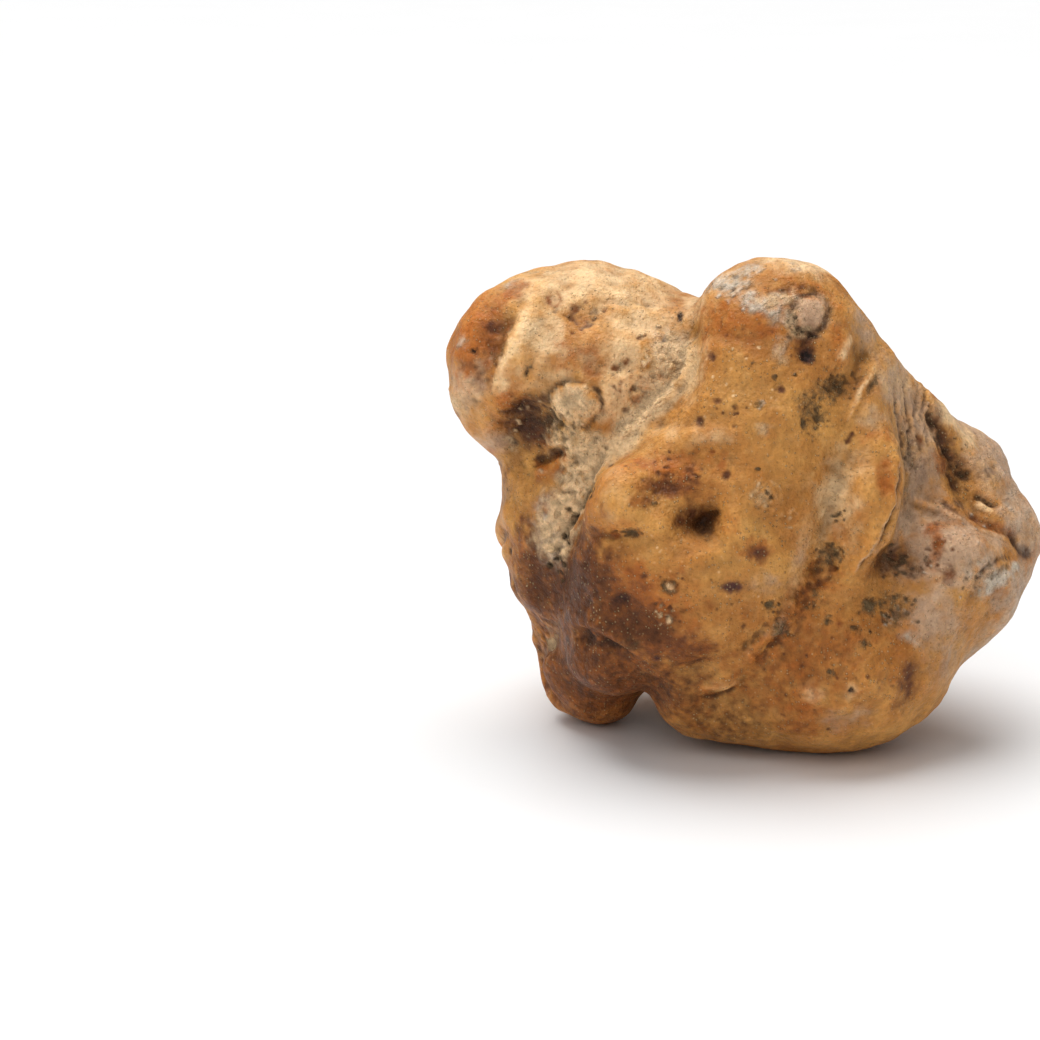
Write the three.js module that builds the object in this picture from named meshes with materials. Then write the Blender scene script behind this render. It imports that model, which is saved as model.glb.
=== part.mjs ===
// White truffle: one whole, freshly cleaned fruiting body, resting on a small flat spot.
// Millimetres, +Z up, the front of the truffle faces -Y, and the origin is under its middle, on the table.
//
// The shape is a smooth union of rounded lobes, as the fungus swells between stones and roots. Folds, valleys
// and hollows are pressed into the skin, and ridges are raised on it. A ball of even triangles is then drawn on
// to that skin, and its lowest part is pressed flat where the truffle rests.

import * as THREE from "three";
import { mergeVertices } from "three/addons/utils/BufferGeometryUtils.js";

// ---------- Driving dimensions ----------

const ballDetail = 22; // splits of each icosahedron edge, which sets the size of the triangles
const ballRadius = 60; // larger than the truffle, so that every vertex starts outside it
const lobeBlend = 4.2; // how far two lobes melt into each other
const restDepth = 0.6; // how much of the underside is pressed flat where the truffle rests
const evenRounds = 60; // rounds of evening out the triangles along the skin

// ---------- Lobes: centre and half-sizes, with an optional turn in degrees about X, Y and Z ----------

const lobes = [
  { name: "core", at: [0, 4, 24], half: [19, 16, 18] },
  { name: "crown", at: [2.8, -1, 43.8], half: [10, 9.5, 10.2], turn: [0, 12, 0] },
  { name: "crown shoulder", at: [10.5, 0, 37.5], half: [7, 8, 8.5] },
  { name: "neck", at: [1.5, -5, 34], half: [10.5, 9.5, 11.5], blend: 6 },
  { name: "front mass", at: [-5, -7.5, 23], half: [14, 10.5, 12.5], blend: 5 },
  { name: "ledge knob", at: [-11, -9.5, 29], half: [6.5, 5.5, 5], blend: 3 },
  { name: "lower left", at: [-12.5, -4.5, 13.8], half: [9, 10, 7.5], blend: 5 },
  { name: "golden fold", at: [11.5, -5.5, 25.5], half: [6.2, 9.5, 12.5], turn: [0, 8, 0] },
  { name: "belly", at: [8.5, -3, 12], half: [15.5, 14, 12.5] },
  { name: "under bulge", at: [-2, -4.5, 8.4], half: [9.5, 9, 6.8] },
  { name: "left shoulder", at: [-17, 9, 41.2], half: [12.8, 11.5, 10.5] },
  { name: "saddle", at: [-8.5, 6, 40], half: [7.5, 9, 7.6] },
  { name: "left cheek", at: [-14, 2.5, 35.5], half: [9.5, 8.5, 9], blend: 6 },
  { name: "left rim", at: [-25, 6, 40.2], half: [7.8, 9, 9.8], blend: 3 },
  { name: "left flank", at: [-17.5, 5, 22.5], half: [9.5, 11, 13] },
  { name: "left foot", at: [-15.4, 4.5, 7.5], half: [7.5, 8, 7.8], blend: 3.5 },
  { name: "column", at: [17.5, 2, 30.5], half: [6, 8, 9] },
  { name: "right shoulder", at: [22.3, 8, 25.8], half: [8.3, 10, 8.6] },
  { name: "right flank", at: [19.5, 0, 20.3], half: [10.5, 12, 8.5] },
  { name: "beak", at: [29, 2, 21.8], half: [4.2, 4.5, 3.8] },
  { name: "beak root", at: [24, 1, 16.5], half: [6, 7, 6] },
  { name: "back shoulder", at: [-4, 17, 35], half: [12, 8, 9] },
  { name: "back swell", at: [6, 17, 22], half: [14, 9.5, 13] },
  { name: "heel", at: [1, 14, 8.3], half: [10, 8.5, 8.6] },
  { name: "back knob", at: [-13, 17, 18], half: [8, 7, 8], blend: 3 },
];

// ---------- Lines and places pressed into the skin, or raised where the depth is negative ----------
// Each is set out as [across, up] as the front is seen from a little above, and then dropped on the lobes.

const frontTilt = 15; // degrees that the front is looked down on

const folds = [
  {
    name: "soil crevice",
    line: [[-6.5, 46], [-7.5, 41.5], [-10, 37], [-14, 32.5], [-17.5, 28.5], [-19.5, 24], [-21, 19.5], [-22, 15]],
    width: 3,
    depth: 1.5,
  },
  {
    name: "lip valley",
    line: [[17.5, 32], [18, 27], [17, 22], [14, 16.5], [9, 12.5], [4.5, 9], [1, 5.5], [-3, 3]],
    width: 3.4,
    depth: 1.8,
  },
  {
    name: "lip",
    line: [[14.5, 32], [14.8, 27], [13.5, 21.5], [10, 17.5], [5.5, 15], [1.5, 11], [-2, 7.5]],
    width: 1.8,
    depth: -0.7,
  },
  { name: "inner valley", line: [[10, 33], [8, 27], [6.5, 21], [4, 16.5]], width: 2.4, depth: 0.9 },
  { name: "dark crevice", line: [[19, 36], [21.5, 31], [24, 27], [26, 24]], width: 1.8, depth: 1.3 },
  {
    name: "beak crease",
    line: [[17, 25.5], [20.5, 24.5], [24, 23], [28, 22], [31, 21.5]],
    width: 1.8,
    depth: 0.9,
  },
  {
    name: "foot fold",
    line: [[-22, 11], [-17.5, 10.2], [-14, 9], [-11.5, 6], [-11, 2]],
    width: 2.4,
    depth: 1.8,
  },
  { name: "ledge", line: [[-18, 12.5], [-14, 11], [-10.5, 8], [-8, 5]], width: 1.8, depth: -0.5 },
  { name: "rim valley", line: [[-25, 45], [-27, 41], [-27.5, 37], [-27.5, 33]], width: 2.4, depth: 1 },
  { name: "pale ridge", line: [[-22, 46], [-24.5, 42], [-26, 38], [-26.5, 34]], width: 1.8, depth: -0.6 },
  { name: "shoulder step", line: [[-20, 47], [-14, 46], [-8, 45]], width: 1.8, depth: 0.7 },
  { name: "crown groove", line: [[11.5, 41], [9, 37], [7, 33]], width: 2.2, depth: 1 },
  { name: "crown ridge", line: [[15, 41], [12.5, 37], [10.5, 32.5]], width: 1.4, depth: -0.6 },
];

const hollows = [
  { name: "dark cheek", at: [-22.5, 31.5], width: 4.5, depth: 2 },
  { name: "ledge shade", at: [-8, 26.5], width: 3.5, depth: 0.9 },
  { name: "pit", at: [-4.5, 21.5], width: 2.6, depth: 1.7 },
  { name: "side pit", at: [-12.5, 21], width: 2.2, depth: 0.9 },
  { name: "scar mouth", at: [6.5, 40.5], width: 2.2, depth: 1.1 },
  { name: "right dimple", at: [17, 18], width: 3.5, depth: 0.9 },
];

// ---------- The skin as a distance: negative inside, zero on the skin ----------

const scratch = new THREE.Vector3();

// How each lobe is turned, worked out once.
const placedLobes = lobes.map(({ at, half, turn = [0, 0, 0], blend = lobeBlend }) => ({
  blend,
  centre: new THREE.Vector3(...at),
  half: new THREE.Vector3(...half),
  back: new THREE.Quaternion()
    .setFromEuler(new THREE.Euler(...turn.map(THREE.MathUtils.degToRad)))
    .invert(),
}));

function ellipsoidDistance(point, { centre, half, back }) {
  scratch.copy(point).sub(centre).applyQuaternion(back).divide(half);
  const reach = scratch.length();
  const slope = scratch.divide(half).length();
  return slope > 0 ? (reach * (reach - 1)) / slope : -Math.min(half.x, half.y, half.z);
}

function smoothUnion(a, b, blend) {
  const share = Math.max(blend - Math.abs(a - b), 0) / blend;
  return Math.min(a, b) - share * share * blend * 0.25;
}

function lobeDistance(point) {
  let distance = Infinity;
  for (const lobe of placedLobes) {
    distance = smoothUnion(distance, ellipsoidDistance(point, lobe), lobe.blend);
  }
  return distance;
}

const tilt = THREE.MathUtils.degToRad(frontTilt);
const lineOfSight = new THREE.Vector3(0, Math.cos(tilt), -Math.sin(tilt));
const upInView = new THREE.Vector3(0, Math.sin(tilt), Math.cos(tilt));

// The point of the lobes that is seen from the front at [across, up].
function seenFromFront([across, up]) {
  const point = upInView.clone().multiplyScalar(up).addScaledVector(lineOfSight, -ballRadius);
  point.x += across;
  for (let gone = 0; gone < 2 * ballRadius; ) {
    const gap = lobeDistance(point);
    if (gap < 0.01) break;
    point.addScaledVector(lineOfSight, gap * 0.7);
    gone += gap * 0.7;
  }
  return point;
}

const placedFolds = folds.map(({ line, width, depth }) => {
  const curve = new THREE.CatmullRomCurve3(line.map(seenFromFront));
  return { places: curve.getSpacedPoints(line.length * 6), width, depth };
});
const placedHollows = hollows.map(({ at, width, depth }) => ({ places: [seenFromFront(at)], width, depth }));
const presses = [...placedFolds, ...placedHollows];

function skinDistance(point) {
  let distance = lobeDistance(point);
  if (distance > 10) return distance - 4;
  for (const { places, width, depth } of presses) {
    let nearest = Infinity;
    for (const place of places) nearest = Math.min(nearest, place.distanceToSquared(point));
    distance += depth * Math.exp(-nearest / (width * width));
  }
  return distance;
}

const probe = new THREE.Vector3();
const probeStep = 0.05;

function skinNormal(point, normal) {
  const here = skinDistance(point);
  for (const axis of ["x", "y", "z"]) {
    probe.copy(point);
    probe[axis] += probeStep;
    normal[axis] = (skinDistance(probe) - here) / probeStep;
  }
  return here;
}

// Moves a point on to the skin, straight down the slope of the distance.
function dropOnSkin(point, steps) {
  const normal = new THREE.Vector3();
  for (let i = 0; i < steps; i++) {
    const here = skinNormal(point, normal);
    point.addScaledVector(normal, -here / Math.max(normal.lengthSq(), 0.25));
  }
}

// ---------- The ball of even triangles ----------

function evenBall() {
  const ball = new THREE.IcosahedronGeometry(ballRadius, ballDetail);
  ball.deleteAttribute("normal");
  ball.deleteAttribute("uv");
  return mergeVertices(ball, 1e-3);
}

function neighboursOf(index, count) {
  const found = Array.from({ length: count }, () => new Set());
  for (let i = 0; i < index.length; i += 3) {
    const corners = [index[i], index[i + 1], index[i + 2]];
    corners.forEach((a) => corners.forEach((b) => a !== b && found[a].add(b)));
  }
  return found.map((set) => [...set]);
}

// Pulls a point in from outside, along its line to the middle of the core, until it meets the skin.
function pullIn(point, middle) {
  const inward = middle.clone().sub(point);
  const whole = inward.length();
  inward.normalize();
  let gone = 0;
  while (gone < whole) {
    const gap = skinDistance(point);
    if (gap < 0.01) break;
    const step = gap * 0.7;
    point.addScaledVector(inward, step);
    gone += step;
  }
}

function truffleGeometry() {
  const geometry = evenBall();
  const position = geometry.attributes.position;
  const middle = new THREE.Vector3(...lobes[0].at);
  const points = [];
  for (let i = 0; i < position.count; i++) {
    const point = new THREE.Vector3().fromBufferAttribute(position, i).add(middle);
    pullIn(point, middle);
    points.push(point);
  }
  const neighbours = neighboursOf(geometry.index.array, position.count);
  const mean = new THREE.Vector3();
  for (let round = 0; round < evenRounds; round++) {
    const moved = points.map((point, i) => {
      mean.set(0, 0, 0);
      neighbours[i].forEach((n) => mean.add(points[n]));
      mean.divideScalar(neighbours[i].length);
      return point.clone().lerp(mean, 0.6);
    });
    moved.forEach((point, i) => {
      dropOnSkin(point, 2);
      points[i].copy(point);
    });
  }
  points.forEach((point, i) => {
    dropOnSkin(point, 3);
    position.setXYZ(i, point.x, point.y, point.z);
  });
  return geometry;
}

// Sets the truffle down on the table: the lowest part is pressed flat at z = 0, under the middle of its box.
function setDown(geometry) {
  geometry.computeBoundingBox();
  const { min, max } = geometry.boundingBox;
  geometry.translate(-(min.x + max.x) / 2, -(min.y + max.y) / 2, -min.z - restDepth);
  const position = geometry.attributes.position;
  for (let i = 0; i < position.count; i++) {
    position.setZ(i, Math.max(position.getZ(i), 0));
  }
  return geometry;
}

const skin = new THREE.MeshStandardMaterial({ color: 0xc08a4e, roughness: 0.62, metalness: 0 });
const truffle = new THREE.Mesh(setDown(truffleGeometry()), skin);
truffle.name = "truffle";

const group = new THREE.Group();
group.add(truffle);
export default group;
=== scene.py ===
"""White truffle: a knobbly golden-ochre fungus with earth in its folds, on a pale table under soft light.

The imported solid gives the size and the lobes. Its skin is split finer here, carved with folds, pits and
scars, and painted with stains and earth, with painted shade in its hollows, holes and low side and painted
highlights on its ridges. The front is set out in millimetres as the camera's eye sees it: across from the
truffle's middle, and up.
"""

import math
import random

import bmesh
import bpy
import numpy as np
from mathutils import Matrix, Vector, noise
from mathutils.bvhtree import BVHTree


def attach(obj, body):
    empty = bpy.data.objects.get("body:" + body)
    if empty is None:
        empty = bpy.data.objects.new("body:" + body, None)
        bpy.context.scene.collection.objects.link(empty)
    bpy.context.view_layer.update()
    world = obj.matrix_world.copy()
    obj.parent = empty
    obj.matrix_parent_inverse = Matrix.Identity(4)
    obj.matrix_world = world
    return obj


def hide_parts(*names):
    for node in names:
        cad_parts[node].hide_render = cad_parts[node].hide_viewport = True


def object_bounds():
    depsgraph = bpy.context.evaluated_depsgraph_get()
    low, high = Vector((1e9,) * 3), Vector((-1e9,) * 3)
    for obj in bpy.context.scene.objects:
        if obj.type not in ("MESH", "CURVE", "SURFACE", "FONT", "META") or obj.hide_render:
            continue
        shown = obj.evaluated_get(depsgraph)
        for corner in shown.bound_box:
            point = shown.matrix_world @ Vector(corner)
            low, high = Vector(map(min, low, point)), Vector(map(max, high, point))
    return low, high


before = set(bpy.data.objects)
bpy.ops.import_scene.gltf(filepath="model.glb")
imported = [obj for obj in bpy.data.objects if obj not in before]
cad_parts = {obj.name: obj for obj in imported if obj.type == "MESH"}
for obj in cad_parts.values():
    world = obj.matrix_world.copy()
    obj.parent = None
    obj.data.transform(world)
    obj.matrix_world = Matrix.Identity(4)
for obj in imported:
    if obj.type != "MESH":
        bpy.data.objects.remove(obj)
cad_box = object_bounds()

MM = 0.001

# ---------- Camera: looks down a little, with the truffle right of the middle ----------

LOOK_DOWN = math.radians(15)
RIGHT = Vector((1, 0, 0))
UP = Vector((0, math.sin(LOOK_DOWN), math.cos(LOOK_DOWN)))
TO_EYE = Vector((0, -math.cos(LOOK_DOWN), math.sin(LOOK_DOWN)))
EYE_DISTANCE = 321 * MM
LENS_MM = 100
SENSOR_MM = 36
FARTHEST = 20  # metres that the camera sees

# The eye looks at the truffle's left side, not quite half way up: shares of its width and height, and how
# far before its middle.
LOOK_ACROSS = 0.124
LOOK_HIGH = 0.436
LOOK_FORWARD = 0.5 * MM

low, high = (Vector(corner) for corner in cad_box)
span = high - low
look_at = Vector((low.x + LOOK_ACROSS * span.x, -LOOK_FORWARD, LOOK_HIGH * span.z))
eye = look_at + TO_EYE * EYE_DISTANCE


def make_camera():
    lens = bpy.data.cameras.new("camera")
    lens.lens = LENS_MM
    lens.sensor_width = SENSOR_MM
    lens.clip_end = FARTHEST
    camera = bpy.data.objects.new("camera", lens)
    camera.matrix_world = Matrix.Translation(eye) @ Matrix((RIGHT, UP, TO_EYE)).transposed().to_4x4()
    bpy.context.scene.collection.objects.link(camera)
    bpy.context.scene.camera = camera


make_camera()

# ---------- Skin: the fine mesh, as arrays in millimetres ----------

# the hole layer is painted shade, and umber is partly painted shade on the low left and the belly
LAYERS = ("cream", "flesh", "rust", "umber", "bruise", "purple", "ash", "soil", "moss", "hole")
MERGE_GAP = 0.01 * MM
SPLITS = 2
ROUNDINGS = 2  # after each split
RAGGED = 0.35  # how far the edge of a mark wanders, as a share of its size
FULL_STEP = 2.33  # times the top of x * exp(-x * x) is 1


def smooth_step(start, end, value):
    t = np.clip((value - start) / (end - start), 0, 1)
    return t * t * (3 - 2 * t)


def fine_copy(node):
    """The node's triangles, merged, split twice and rounded, as a new mesh."""
    shape = bmesh.new()
    shape.from_mesh(node.data)
    bmesh.ops.remove_doubles(shape, verts=shape.verts, dist=MERGE_GAP)
    for _ in range(SPLITS):
        bmesh.ops.subdivide_edges(shape, edges=shape.edges[:], cuts=1, use_grid_fill=True)
        for _ in range(ROUNDINGS):
            bmesh.ops.smooth_vert(
                shape, verts=shape.verts, factor=0.5, use_axis_x=True, use_axis_y=True, use_axis_z=True
            )
    for face in shape.faces:
        face.smooth = True
    mesh = bpy.data.meshes.new("truffle_skin")
    shape.to_mesh(mesh)
    shape.free()
    return mesh


class Skin:
    """Points of the skin in millimetres, how far each is raised, and how strongly each layer is painted."""

    def __init__(self, mesh):
        self.mesh = mesh
        count = len(mesh.vertices)
        self.points = self.read("co") / MM
        self.normals = self.read("normal")
        pairs = np.empty(len(mesh.edges) * 2, np.int32)
        mesh.edges.foreach_get("vertices", pairs)
        self.pairs = pairs.reshape(-1, 2)
        self.shares = np.bincount(self.pairs.ravel(), minlength=count)[:, None]
        faces = [tuple(face.vertices) for face in mesh.polygons]
        self.tree = BVHTree.FromPolygons([v.co.copy() for v in mesh.vertices], faces)
        self.view = np.array((RIGHT, UP, TO_EYE))
        self.seen = self.points @ self.view.T  # across, up and towards the eye
        self.facing = self.normals @ np.array(TO_EYE)
        self.raised = np.zeros(count)
        self.layers = {name: np.zeros(count) for name in LAYERS}
        self.wobble = self.noise(1.6, 1) + 0.6 * self.noise(0.7, 2)  # for ragged edges
        self.chance = random.Random(3)

    def read(self, name):
        values = np.empty(len(self.mesh.vertices) * 3)
        self.mesh.vertices.foreach_get(name, values)
        return values.reshape(-1, 3)

    def noise(self, size, seed):
        """Smooth noise, from about -1 to 1, in lumps of that size in millimetres."""
        offset = Vector((17.3, 5.1, 9.7)) * seed  # each seed looks at another part of the noise
        return np.array([noise.noise(Vector(row) + offset) for row in self.points / size])

    def spread(self, values, rounds):
        """Values averaged with their neighbours, that many times."""
        a, b = self.pairs.T
        for _ in range(rounds):
            total = np.empty_like(values)
            for k in range(values.shape[1]):
                from_b = np.bincount(a, values[b, k], len(values))
                from_a = np.bincount(b, values[a, k], len(values))
                total[:, k] = from_b + from_a
            values = 0.5 * values + 0.5 * total / self.shares
        return values

    def find(self, across, up):
        """The point of the skin that the eye sees at across, up, or the nearest one past the edge."""
        aim = RIGHT * across * MM + UP * up * MM + TO_EYE * look_at.dot(TO_EYE)
        hit = self.tree.ray_cast(eye, aim - eye)[0] or self.tree.find_nearest(aim)[0]
        return np.array(hit) / MM

    def stray(self, place, most=0.3):
        """How far a line wanders sideways at a place, so that it isn't drawn with a ruler."""
        return np.array([noise.noise(Vector((*place, deep)) / 1.4) for deep in (10, 20)]) * most

    def paint(self, reach, layers):
        """Paints layers in a mark, fading out to nearly twice its size. A strength below 0 wipes one off."""
        inside = 1 - smooth_step(0.1, 1.8, reach + RAGGED * self.wobble)
        for name, strength in layers.items():
            before = self.layers[name]
            wiped = before * (1 + strength * inside)
            self.layers[name] = wiped if strength < 0 else np.maximum(before, strength * inside)

    def spot(self, across, up, half_across, half_up, turn=0, sink=0, plate=0, **layers):
        """An oval mark on the front, sunk or raised in the middle, or raised as a flat plate."""
        middle = self.view @ self.find(across, up)
        offset = self.seen - middle
        turned = math.radians(turn)
        x = offset[:, 0] * math.cos(turned) + offset[:, 1] * math.sin(turned)
        y = offset[:, 1] * math.cos(turned) - offset[:, 0] * math.sin(turned)
        far = offset[:, 2] / (2.5 * max(half_across, half_up))  # it spares the lobes behind
        reach = np.sqrt((x / half_across) ** 2 + (y / half_up) ** 2 + far**2)
        self.raised -= sink * np.exp(-(reach**2))
        if plate:
            self.raised += plate * (1 - smooth_step(0.9, 1.15, reach + 0.1 * self.wobble))
        self.paint(reach, layers)

    def ball(self, middle, radius, sink=0, **layers):
        """A round mark anywhere, about a point of the skin."""
        reach = np.linalg.norm(self.points - middle, axis=1) / radius
        self.raised -= sink * np.exp(-(reach**2))
        self.paint(reach, layers)

    def crumbs(self, across, up, half_across, half_up, count, size, sink=0.1, **layers):
        """Small marks strewn over an oval, closest together in its middle."""
        for _ in range(count):
            x, y = (self.chance.gauss(0, 0.6) for _ in range(2))
            radius = size * self.chance.uniform(0.5, 1.3)
            turn = self.chance.uniform(-50, 50)
            place = (across + x * half_across, up + y * half_up)
            self.spot(*place, radius, 0.7 * radius, turn, sink * radius / size, **layers)

    def line(self, corners, width, groove=0, step=0, spread=1.5, **layers):
        """A crease along a smooth line: a groove, a ridge below 0, or a step up to its left."""
        route = np.array([self.find(*(place + self.stray(place))) for place in smooth_route(corners)])
        reach_mm = 3 * width * max(1, spread)
        low_corner = route.min(0) - reach_mm
        high_corner = route.max(0) + reach_mm
        near = np.flatnonzero(np.all((self.points > low_corner) & (self.points < high_corner), axis=1))
        gaps = np.linalg.norm(self.points[near, None] - route[None], axis=2)
        closest = gaps.argmin(1)
        gap = gaps[np.arange(len(near)), closest]
        along = closest / (len(route) - 1)
        fade = smooth_step(0, 0.2, along) * smooth_step(0, 0.2, 1 - along)
        if math.dist(route[0], route[-1]) < 1.5 * width:  # a ring has no ends to fade at
            fade = np.ones(len(near))
        fade = np.clip(fade * (0.85 + 0.6 * self.wobble[near]), 0, 1.2)
        seen = route @ self.view.T
        heading = np.gradient(seen, axis=0)[closest]
        offset = self.seen[near] - seen[closest]
        side = np.sign(heading[:, 0] * offset[:, 1] - heading[:, 1] * offset[:, 0])
        x = gap / width
        self.raised[near] += fade * np.exp(-(x**2)) * (FULL_STEP * step * side * x - groove)
        inside = fade * (1 - smooth_step(0.1, 1.7, x / spread + RAGGED * self.wobble[near]))
        for name, strength in layers.items():
            self.layers[name][near] = np.maximum(self.layers[name][near], strength * inside)


def ring(across, up, half_across, half_up):
    """The corners of an oval on the front, closed on itself."""
    turns = [math.radians(angle) for angle in range(0, 361, 30)]
    return [(across + half_across * math.cos(t), up + half_up * math.sin(t)) for t in turns]


def smooth_route(corners, spacing=0.35):
    """Places every 0.35 mm or so along a smooth curve through the corners."""
    corners = [np.array(corner, float) for corner in corners]
    run_in = 2 * corners[0] - corners[1]
    run_out = 2 * corners[-1] - corners[-2]
    ends = [run_in, *corners, run_out]
    places = []
    for a, b, c, d in zip(ends, ends[1:], ends[2:], ends[3:]):
        steps = max(2, round(math.dist(b, c) / spacing))
        for t in np.arange(steps) / steps:
            curve = 2 * b + (c - a) * t + (2 * a - 5 * b + 4 * c - d) * t**2
            places.append(0.5 * (curve + (3 * b - a - 3 * c + d) * t**3))
    return [*places, corners[-1]]


# ---------- The front, lobe by lobe ----------

# Swellings and hollows: across, up, half width, half height, turn in degrees, height.
SWELLINGS = (
    # the left shoulder: a sunken rim behind a ridge, and low swellings between the pits
    (-28.5, 42.5, 2.2, 4.5, -14, -0.9),
    (-25, 43, 1.1, 5.5, -18, 0.5),
    (-18, 45.3, 2.2, 1.4, 0, -0.35),
    (-20, 41.5, 3, 1.8, 20, 0.35),
    (-13, 42.8, 3.2, 1.5, 20, 0.3),
    (-13.5, 39.8, 1.6, 0.9, 10, -0.3),
    (-24.5, 33.5, 3, 3, 0, -0.8),
    # the crown
    (-2.5, 46.5, 3, 2, -20, 0.3),
    (-1.5, 43, 4, 1, -5, -0.25),
    (2.5, 42, 2, 1.5, 0, -0.25),
    (10.5, 41, 1.5, 2.5, -20, 0.4),
    (10, 37.6, 2, 1.3, 10, -0.45),
    (7.8, 34.5, 1.5, 2, 10, -0.3),
    (-3, 37, 2.5, 2.5, 0, 0.2),
    # the front mass: a knob on the left, a hollow with the pit in it, and the lips around the pit
    (-13.2, 25.5, 2.4, 3.4, 0, 0.9),
    (-9, 26.2, 2.8, 1.5, 10, -0.5),
    (-5.2, 23, 3, 2, 35, -0.9),
    (-0.8, 21.8, 1.7, 2.2, 0, 0.85),
    (-4.5, 18.4, 2.8, 1, 15, 0.65),
    (-9.3, 21.8, 2.2, 1.1, 15, 0.45),
    (-11.5, 17.6, 2.5, 1.6, 0, 0.6),
    (-14, 20.8, 2.4, 0.8, 0, -0.4),
    (-6, 31.8, 5, 1.2, 8, 0.4),
    (-5, 33.8, 4, 0.9, 8, -0.2),
    (-8, 29, 4.5, 1.2, 5, -0.2),
    (-17, 16, 2.5, 3, 0, 0.4),
    (-9.5, 13.5, 2, 1.5, 0, 0.3),
    (-7, 9.5, 3, 2, -15, 0.4),
    (-12.5, 10.5, 2, 1.2, -20, -0.3),
    (-3, 13, 2, 1.2, 0, -0.2),
    (-2, 10.5, 2.5, 2, 20, 0.3),
    (2.5, 25, 1.6, 1.8, 0, 0.25),
    (6.5, 21, 1.4, 5, -12, 0.3),
    (10, 24, 1.5, 6, -8, -0.45),
    (13.8, 26, 1.7, 4, -8, 0.5),
    # the belly
    (11, 10, 4, 2.5, -20, 0.4),
    (7.6, 3, 1.8, 1.5, 0, 0.35),
    (13, 5, 2.5, 2, 0, 0.3),
    (3.5, 5.5, 2, 1.5, 20, 0.3),
    (18.6, 4.6, 1.4, 2.4, -10, -0.35),
    # the right flank and the beak
    (22.5, 20.5, 2.5, 1.5, 0, 0.35),
    (17, 18.2, 3, 2, 10, -0.6),
    (25.8, 20.3, 3, 1.7, -15, 0.5),
    (27, 15, 2.5, 2, 30, -0.5),
    (22, 12.5, 2.5, 3, 10, 0.35),
    (16.8, 12.5, 1.8, 2, 0, -0.35),
    (27, 27.5, 2, 3, 30, 0.4),
)


def left_shoulder(spot, line, crumbs):
    """The shoulder: a rough rusty rim behind a pale ridge, and a patch of small pits."""
    spot(-16, 49, 10, 3.5, cream=0.75)
    spot(-20, 39.5, 9, 3, turn=10, cream=0.4)
    spot(-31, 37, 2.4, 4, turn=-20, cream=0.5, flesh=0.6)
    spot(-26, 34.5, 2, 3, turn=-30, rust=0.6)
    spot(-22.5, 43.5, 2.5, 3.5, cream=0.75)
    spot(-12, 44.2, 4.5, 2.4, cream=0.7)
    line([(-16.5, 46.7), (-13.5, 46.5), (-10, 46.3), (-7.6, 45.6)], 1.0, step=-0.18, cream=0.6)
    # the rough patch along the rim
    spot(-29.5, 43.5, 3, 5.5, turn=-15, rust=0.8)
    spot(-26, 48, 2.5, 1, turn=40, rust=0.8, bruise=0.3)
    spot(-28.4, 42.5, 1.8, 4, turn=-14, bruise=0.35)
    spot(-28, 44.4, 1.4, 1.1, bruise=0.6, purple=0.4)
    spot(-30.8, 39.8, 1.2, 0.8, bruise=0.5)
    spot(-29, 38, 1.8, 1.4, bruise=0.45)
    spot(-25.9, 48.9, 1.2, 0.7, turn=30, ash=0.4)
    spot(-31.4, 42.4, 0.8, 0.8, ash=0.4)
    crumbs(-28.2, 41.5, 1.8, 3, 22, 0.28, sink=0.14, bruise=0.5)
    crumbs(-27.8, 41.5, 1.6, 3, 22, 0.24, sink=-0.1, flesh=0.7, cream=0.4)
    line([(-23.5, 46.5), (-25, 43.5), (-26, 41), (-27, 38), (-28, 36)], 0.9, groove=-0.25, cream=0.8)
    spot(-30.3, 41.4, 0.4, 0.28, sink=0.5, hole=0.9)
    spot(-23.9, 39.2, 0.24, 0.75, turn=-22, sink=0.9, hole=1)
    line(ring(-20.9, 47.3, 0.75, 0.65), 0.25, groove=0.1, rust=0.75)
    spot(-20.9, 47.3, 0.5, 0.4, flesh=0.5)
    spot(-17.8, 45.2, 2.6, 1.4, rust=0.35)
    for across, up, size in (
        (-18.7, 46.2, 0.55), (-18.9, 45.2, 0.35), (-16.4, 46, 0.32), (-15.4, 46, 0.28), (-17.2, 44.4, 0.5),
        (-18, 44, 0.33), (-19, 43.4, 0.3), (-19.6, 45.5, 0.3), (-16.6, 45.2, 0.28), (-17.6, 46.8, 0.22),
    ):
        spot(across, up, size, 0.65 * size, turn=20, sink=0.45, rust=0.7, bruise=0.45)
    crumbs(-17.6, 45.1, 2.4, 1.3, 22, 0.2, sink=0.15, bruise=0.4)


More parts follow.
